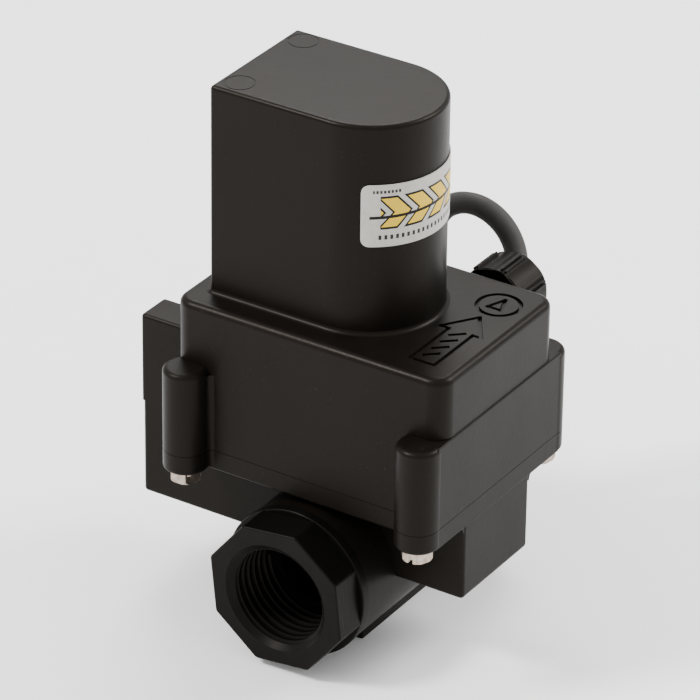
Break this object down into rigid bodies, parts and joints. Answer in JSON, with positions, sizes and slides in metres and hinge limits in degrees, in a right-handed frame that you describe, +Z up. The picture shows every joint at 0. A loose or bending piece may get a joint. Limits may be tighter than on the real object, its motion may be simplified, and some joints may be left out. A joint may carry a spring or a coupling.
{
  "type": "solenoid valve",
  "caption": "Black plastic two-way solenoid valve: boxy housing with a D-shaped coil tower, octagonal threaded ports on one axis, a cable gland with a lead and a mounting pad.",
  "frame": {"origin": "centre of the mounting pad's flat bottom face", "axes": "+Z up through the solenoid tower, +Y along the flow from the inlet to the outlet, +X towards the round end of the tower"},
  "size_m": [0.0898, 0.1129, 0.1105],
  "materials": {
    "nylon": "black glass-filled nylon, moulded, satin",
    "insert_plastic": "natural acetal, moulded, satin",
    "bonnet_plastic": "black nylon, moulded, matt",
    "rubber": "black nitrile rubber, matt",
    "steel": "stainless steel, machined",
    "zinc_steel": "zinc plated steel strip",
    "copper": "enamelled copper wire, wound",
    "board": "green lacquered circuit board",
    "red_wire": "red PVC insulation",
    "black_wire": "black PVC insulation",
    "label": "printed vinyl label, light grey",
    "cable": "dark grey PVC cable jacket, satin",
    "connector": "black nylon connector housing"
  },
  "bodies": {
    "housing": {"valve_body": "nylon", "cover": "nylon", "cover_gasket": "rubber", "cover_screw_right_rear": "steel", "bonnet_screw_right_rear": "steel", "cover_screw_left_rear": "steel", "bonnet_screw_left_rear": "steel", "cover_screw_left_front": "steel", "bonnet_screw_left_front": "steel", "cover_screw_right_front": "steel", "bonnet_screw_right_front": "steel", "inlet_fitting": "nylon", "inlet_o_ring": "rubber", "outlet_fitting": "nylon", "outlet_o_ring": "rubber", "diaphragm": "rubber", "diaphragm_spring": "steel", "bonnet": "bonnet_plastic", "guide_tube": "steel", "fixed_core": "steel", "plunger_spring": "steel", "yoke_frame": "zinc_steel", "coil_bobbin": "insert_plastic", "coil_winding": "copper", "coil_nut": "zinc_steel", "driver_board": "board", "lead_wire_red": "red_wire", "lead_wire_black": "black_wire", "gland_body": "nylon", "gland_locknut": "nylon", "gland_seal": "rubber", "gland_nut": "nylon", "label": "label", "cable_run": "cable", "cable_coil": "cable", "cable_tail": "cable", "cable_connector": "connector"},
    "plunger": {"plunger": "steel", "pilot_seal": "rubber"},
    "poppet": {"poppet": "insert_plastic"}
  },
  "joints": [
    {"name": "plunger_lift", "type": "slide", "parent": "housing", "child": "plunger", "axis": [0, 0, 1], "range_m": [0, 0.004], "stiffness_N_per_m": 250, "springref_m": -0.012, "deforming": ["plunger_spring"]},
    {"name": "poppet_lift", "type": "slide", "parent": "housing", "child": "poppet", "axis": [0, 0, 1], "range_m": [0, 0.0024], "deforming": ["diaphragm", "diaphragm_spring"]}
  ],
  "couplings": [
    {"joint": "poppet_lift", "follows": "plunger_lift", "ratio": 0.6}
  ]
}
